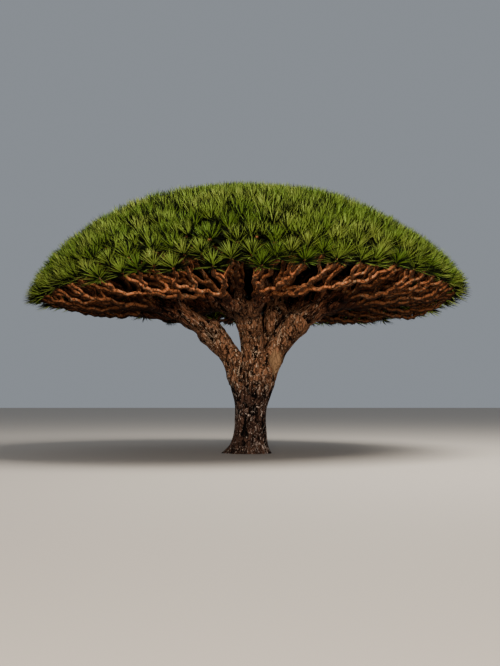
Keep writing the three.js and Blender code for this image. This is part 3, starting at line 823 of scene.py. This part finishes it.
# Wraps a socket, so that shader maths reads as plain expressions
class Value:
    def __init__(self, socket):
        self.socket = socket

    # Adds any node: its type, its settings, then the values or links of its sockets
    def node(self, kind, settings, sockets, outlet=0):
        tree = self.socket.id_data
        made = tree.nodes.new(kind)
        for key, setting in settings.items():
            setattr(made, key, setting)
        for key, value in sockets.items():
            if isinstance(value, Value):
                tree.links.new(value.socket, made.inputs[key])
            else:
                made.inputs[key].default_value = value
        return Value(made.outputs[outlet])

    def maths(self, operation, first, second):
        return self.node("ShaderNodeMath", {"operation": operation}, {0: first, 1: second})

    def __add__(self, other):
        return self.maths("ADD", self, other)

    def __radd__(self, other):
        return self.maths("ADD", other, self)

    def __sub__(self, other):
        return self.maths("SUBTRACT", self, other)

    def __rsub__(self, other):
        return self.maths("SUBTRACT", other, self)

    def __mul__(self, other):
        return self.maths("MULTIPLY", self, other)

    def __rmul__(self, other):
        return self.maths("MULTIPLY", other, self)


# sRGB numbers from 0 to 255 as the linear colour that sockets take
def colour(red, green, blue):
    share = np.array([red, green, blue]) / 255
    linear = np.where(share <= 0.04045, share / 12.92, ((share + 0.055) / 1.055) ** 2.4)
    return tuple(float(part) for part in linear)


# A fresh material: its shader's input sockets and the piece's own coordinates
def beginMaterial(name):
    material = bpy.data.materials.new(name)
    material.use_nodes = True
    nodes = material.node_tree.nodes
    shader = nodes["Principled BSDF"]
    place = Value(nodes.new("ShaderNodeTexCoord").outputs["Object"])
    return material, shader, place


def feed(shader, socket, value):
    shader.id_data.links.new(value.socket, shader.inputs[socket])


def vectorMaths(operation, *inputs, outlet=0):
    return inputs[0].node("ShaderNodeVectorMath", {"operation": operation}, dict(enumerate(inputs)), outlet)


def noise(place, scale, detail, roughness, distortion=0.0, outlet=0):
    sockets = {"Vector": place, "Scale": scale, "Detail": detail, "Roughness": roughness}
    return place.node("ShaderNodeTexNoise", {}, {**sockets, "Distortion": distortion}, outlet)


def stored(place, name):
    return place.node("ShaderNodeAttribute", {"attribute_name": name}, {}, 2)


def mixed(mask, under, over):
    sockets = {0: mask, 6: (*under, 1) if isinstance(under, tuple) else under}
    sockets[7] = (*over, 1) if isinstance(over, tuple) else over
    return mask.node("ShaderNodeMix", {"data_type": "RGBA", "clamp_factor": True}, sockets, 2)


# Rises smoothly from 0 at the low value to 1 at the high one
def between(value, low, high):
    sockets = {0: value, 1: low, 2: high, 3: 0.0, 4: 1.0}
    return value.node("ShaderNodeMapRange", {"interpolation_type": "SMOOTHSTEP"}, sockets)


# Bark colours, dark, mid and pale: the dark grey foot, the fork's beige brown, the reddish limbs, the twigs
barkTones = {
    "foot": [(3, 1, 1), (98, 71, 58), (236, 212, 194)],
    "fork": [(8, 3, 2), (166, 117, 85), (236, 204, 172)],
    "limb": [(10, 3, 2), (168, 102, 72), (240, 184, 150)],
    "twig": [(12, 4, 2), (255, 162, 106), (255, 222, 176)],
}
# The fork's tones begin between these heights and the limbs' between these distances from the trunk's axis,
# and broad patches move both by so much
zones = {"fork": (1.7, 2.8), "forkPatchy": 0.6, "limb": (1.8, 3.1), "limbPatchy": 0.8}
# Each bark: cracks to a metre, how far its dark blotches and how little its worn, pale flecks spread, how
# curly both are, and how deep its marks are in metres
barkLooks = {
    "trunk": {"cracks": 11.0, "blotched": 0.41, "worn": 0.715, "curl": 0.17, "bump": 0.07},
    "limb": {"cracks": 13.0, "blotched": 0.43, "worn": 0.73, "curl": 0.1, "bump": 0.05},
    "twig": {"cracks": 6.0, "blotched": 0.28, "worn": 0.7, "curl": 0.22, "bump": 0.008},
}
# What all bark shares. Each noise is its scale, detail, roughness and distortion.
marks = {
    "warp": (5.0, 2.0, 0.5, 0.0),
    "blotches": (6.0, 6.0, 0.7, 0.8),
    "patches": (1.7, 3.0, 0.5, 0.0),
    "grit": (38.0, 5.0, 0.7, 0.0),
    "flecks": (21.0, 3.0, 0.6, 0.5),
    "blotchEdge": 0.13,
    "crackWide": 0.11,
    "crackDark": 0.85,
    "wornEdge": 0.08,
    "wornPatchy": 0.3,
    "wornGrit": (0.3, 0.55),
    # How dark the painted shade in the fold between two boughs is
    "foldShade": 0.96,
    "stand": (0.7, 0.3, 0.2, 0.4),  # how far blotches, flecks and grit stand out, and cracks sink in
    "rough": 0.95,
    "wornSmoother": 0.25,
    "gloss": 0.12,
}
# The limbs' marks run away from this point of the axis, drawn out so many times, and the trunk's run upright
grain = {"from": (0.0, 0.0, 2.0), "across": 3.0, "along": 0.24, "upright": (1.0, 1.0, 0.4)}
# A bare, smooth patch on the right bough, whose edge is where distances * times reach the size
bare = {
    "at": (0.72, -0.3, 2.6),
    "times": (1.3, 0.5, 0.62),
    "size": (0.17, 0.27),
    "tone": (170, 134, 98),
    "ragged": 0.4,
    "cover": 0.55,
    "gritty": 0.5,
}
# Painted shade inside the crown: the bark darkens towards near black with the height above a cone that follows
# the crown's underside
shade = {"from": 4.2, "to": 5.2, "slope": 0.13, "most": 0.93}
# Painted shade: bark that looks down is this much darker beside the trunk, out on the limbs, and on twigs.
# Limbs and twigs also get painted shade towards the rear, between these depths, and a limb counts as out
# between these distances.
underShade = {"near": 0.4, "far": 0.78, "twig": 0.93, "away": (1.4, 3.2)}
rearShade = {"most": 0.76, "depths": (-4.4, -1.2)}


# Coordinates that change slowly along the lines from a point: unit vector from it * (across + reach * along)
def grainFrom(place):
    out = vectorMaths("SUBTRACT", place, grain["from"])
    long = grain["across"] + vectorMaths("LENGTH", out, outlet=1) * grain["along"]
    heading = vectorMaths("NORMALIZE", out)
    return heading.node("ShaderNodeVectorMath", {"operation": "SCALE"}, {0: heading, "Scale": long})


# Coordinates for a bark's marks: drawn out along trunk and limbs, then curled by a warp
def markPlaces(place, kind):
    drawn = place
    if kind == "limb":
        drawn = grainFrom(place)
    if kind == "trunk":
        drawn = vectorMaths("MULTIPLY", place, grain["upright"])
    warp = noise(place, *marks["warp"], 1)
    return vectorMaths("MULTIPLY_ADD", warp, (barkLooks[kind]["curl"],) * 3, drawn)


# How much of a place the bare patch covers
def barePatch(place, blotches, grit):
    off = vectorMaths("MULTIPLY", vectorMaths("SUBTRACT", place, bare["at"]), bare["times"])
    edge = vectorMaths("LENGTH", off, outlet=1) + (blotches - 0.5) * bare["ragged"]
    return (1 - between(edge, *bare["size"])) * (bare["cover"] + grit * bare["gritty"])


# Bark: mid and dark blotches, pale curly flecks of worn bark and a net of fine dark cracks, then painted shade
# inside the crown, on undersides, towards the rear and in the fold between two boughs
def barkMaterial(name, kind):
    look = barkLooks[kind]
    material, shader, place = beginMaterial(name)
    parts = place.node("ShaderNodeSeparateXYZ", {}, {0: place}).socket.node.outputs
    depth, height = Value(parts[1]), Value(parts[2])
    away = vectorMaths("LENGTH", vectorMaths("MULTIPLY", place, (1.0, 1.0, 0.0)), outlet=1)
    curled = markPlaces(place, kind)
    blotches, flecks = noise(curled, *marks["blotches"]), noise(curled, *marks["flecks"])
    patches, grit = noise(place, *marks["patches"]), noise(place, *marks["grit"])
    net = {"Vector": curled, "Scale": look["cracks"]}
    net = place.node("ShaderNodeTexVoronoi", {"feature": "DISTANCE_TO_EDGE"}, net)
    crack = 1 - between(net, 0.0, marks["crackWide"])
    if kind == "twig":
        dark, mid, pale = [colour(*tone) for tone in barkTones["twig"]]
    else:
        rising = between(height + patches * zones["forkPatchy"], *zones["fork"])
        reddish = between(away + patches * zones["limbPatchy"], *zones["limb"])
        dark, mid, pale = [
            mixed(reddish, mixed(rising, colour(*foot), colour(*fork)), colour(*limb))
            for foot, fork, limb in zip(barkTones["foot"], barkTones["fork"], barkTones["limb"])
        ]
    blotched, wornFrom = look["blotched"], look["worn"]
    base = mixed(between(blotches, blotched, blotched + marks["blotchEdge"]), dark, mid)
    worn = between(flecks + patches * marks["wornPatchy"], wornFrom, wornFrom + marks["wornEdge"])
    base = mixed(worn * between(grit, *marks["wornGrit"]), base, pale)
    base = mixed(crack * marks["crackDark"], base, dark)
    # Painted shade inside the crown, down to the foot's darkest tone
    inside = between(height - away * shade["slope"], shade["from"], shade["to"])
    base = mixed(inside * shade["most"], base, colour(*barkTones["foot"][0]))
    # Painted shade on bark that looks down, weaker beside the trunk than out on the limbs
    far = between(away, *underShade["away"])
    under = underShade["twig"]
    if kind != "twig":
        under = underShade["near"] + far * (underShade["far"] - underShade["near"])
    base = mixed(stored(place, "underside") * under, base, dark)
    if kind == "trunk":
        base = mixed(barePatch(place, blotches, grit), base, colour(*bare["tone"]))
        # Painted shade in the fold between two boughs
        base = mixed(stored(place, "fold") * marks["foldShade"], base, dark)
    else:
        # Painted shade on limbs and twigs towards the rear, away from the trunk
        base = mixed(between(depth, *rearShade["depths"]) * far * rearShade["most"], base, dark)
    feed(shader, "Base Color", base)
    feed(shader, "Roughness", marks["rough"] - worn * marks["wornSmoother"])
    blotchHigh, fleckHigh, gritHigh, crackDeep = marks["stand"]
    relief = blotches * blotchHigh + flecks * fleckHigh + grit * gritHigh - crack * crackDeep
    bump = relief.node("ShaderNodeBump", {}, {"Strength": 1.0, "Distance": look["bump"], "Height": relief})
    feed(shader, "Normal", bump)
    shader.inputs["Specular IOR Level"].default_value = marks["gloss"]
    return material


trunkBark = barkMaterial("trunk_bark", "trunk")
limbBark = barkMaterial("limb_bark", "limb")
twigBark = barkMaterial("twig_bark", "twig")

# Leaf greens, dealt out by rosette: plain base colours. The last two are near-black: painted shade on the
# shaded leaves among the fresh, and on old leaves, which are partly dark of their own and partly painted
# shade.
leafTints = [(124, 147, 58), (134, 157, 64), (114, 139, 52), (146, 162, 72), (106, 133, 48), (130, 150, 62)]
leafTints += [(24, 32, 10), (15, 20, 6)]
leafFinish = {"gloss": 0.06, "rough": 0.6, "uneven": 0.2, "mottle": (9.0, 2.0, 0.5)}


def leafMaterial(name, tint):
    material, shader, place = beginMaterial(name)
    shader.inputs["Base Color"].default_value = (*colour(*tint), 1)
    shader.inputs["Specular IOR Level"].default_value = leafFinish["gloss"]
    mottle = noise(place, *leafFinish["mottle"])
    feed(shader, "Roughness", leafFinish["rough"] + mottle * leafFinish["uneven"])
    return material


tintMaterials = [leafMaterial("leaf_green_" + str(i + 1), tint) for i, tint in enumerate(leafTints)]
for piece, indices in leafPieces.values():
    for material in tintMaterials:
        piece.data.materials.append(material)
    piece.data.polygons.foreach_set("material_index", indices.astype(np.int32))


# A piece rides on the tree's one body. Leaves have their greens already.
def finishPiece(piece, material, nodes):
    if material:
        piece.data.materials.append(material)
    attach(piece, "root")
    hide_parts(*nodes)


forks = {name: [name + "_1", name + "_2"] for name in boughs}
masses = {name: ["foliage_" + fork + part for fork in forks[name] for part in "ab"] for name in boughs}
allMasses = [node for name in boughs for node in masses[name]]
finishPiece(trunkSkin, trunkBark, ["trunk"] + ["bough_" + name for name in boughs])
limbNodes = ["bough_" + fork for name in boughs for fork in forks[name]]
finishPiece(limbSkin, limbBark, limbNodes + allMasses)
finishPiece(stemSkin, limbBark, allMasses)
for name in boughs:
    finishPiece(twigPieces[name], twigBark, masses[name])
    finishPiece(leafPieces[name][0], None, masses[name])
print("pieces dressed")

# A plain pale floor and soft light from the sky, a broad lamp above and a warm, low one in front
studio = {
    "floor": (196, 186, 174),
    "floorRough": 0.9,
    "floorHalf": 150.0,
    "sky": (206, 214, 224),
    "skyLight": 0.42,
}
corners = studio["floorHalf"] * np.array([[-1, -1, 0], [1, -1, 0], [1, 1, 0], [-1, 1, 0]])
floor = pieceFrom(meshFrom("floor", corners, [np.array([[0, 1, 2, 3]])], False))
floorMaterial, floorShader = beginMaterial("floor")[:2]
floorShader.inputs["Base Color"].default_value = (*colour(*studio["floor"]), 1)
floorShader.inputs["Roughness"].default_value = studio["floorRough"]
floor.data.materials.append(floorMaterial)

world = bpy.data.worlds.new("studio")
world.use_nodes = True
sky = world.node_tree.nodes["Background"].inputs
sky["Color"].default_value = (*colour(*studio["sky"]), 1)
sky["Strength"].default_value = studio["skyLight"]
bpy.context.scene.world = world

# Each lamp: its place, what it shines at, its width and height, watts and colour
lamps = {
    "overhead": [(7, -7, 19), (0, 0, 5), (12, 12), 7000, (1.0, 0.97, 0.9)],
    "front": [(0, -33, 4.5), (0, 0, 4.0), (8, 5), 5700, (1.0, 0.88, 0.75)],
}
for name, (place, target, (wide, tall), power, tone) in lamps.items():
    lamp = bpy.data.objects.new(name, bpy.data.lights.new(name, "AREA"))
    bpy.context.scene.collection.objects.link(lamp)
    lamp.data.shape = "RECTANGLE"
    lamp.data.size, lamp.data.size_y = wide, tall
    lamp.data.energy, lamp.data.color = power, tone
    lamp.visible_camera = False
    lamp.location = place
    aim = unit(np.array(place, float) - np.array(target, float))
    lamp.rotation_euler = (math.acos(aim[2]), 0.0, math.atan2(aim[1], aim[0]) + math.pi / 2)
print("stage set")
